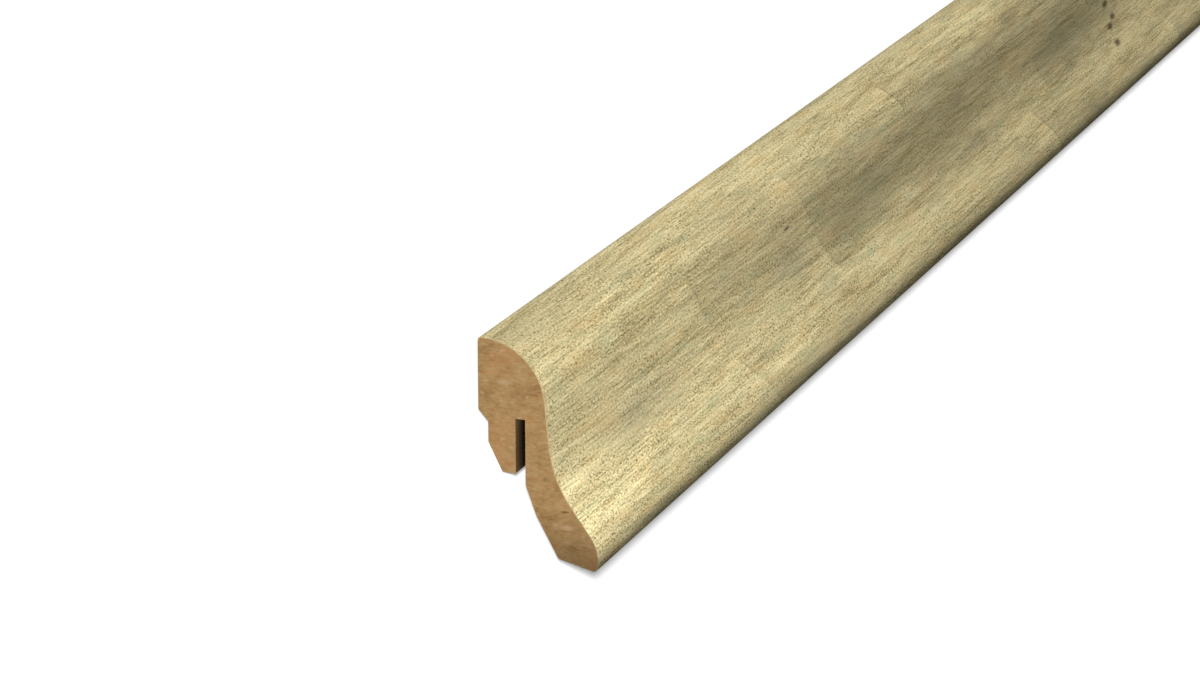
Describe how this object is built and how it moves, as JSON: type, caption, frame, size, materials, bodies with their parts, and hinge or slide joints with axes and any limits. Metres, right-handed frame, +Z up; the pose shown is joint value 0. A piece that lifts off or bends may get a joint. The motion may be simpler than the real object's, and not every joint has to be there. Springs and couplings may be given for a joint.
{
  "type": "skirting board",
  "caption": "Straight clip-on MDF skirting board with a rounded crown, hollow waist, sloping toe, wood-print foil front and a clip slot behind a lip.",
  "frame": {"origin": "middle of the lying board's length and width, on the floor it lies on", "axes": "+Y along the board, away from the end that is seen; +Z up, out of the decor; -X towards the rounded top edge and +X towards the toe and nose"},
  "size_m": [0.045, 2.4, 0.0138],
  "materials": {
    "mdf": "bare sawn and milled MDF",
    "foil": "satin printed foil"
  },
  "bodies": {
    "root": {"mdf_core": "mdf", "decor_foil": "foil"}
  },
  "joints": []
}
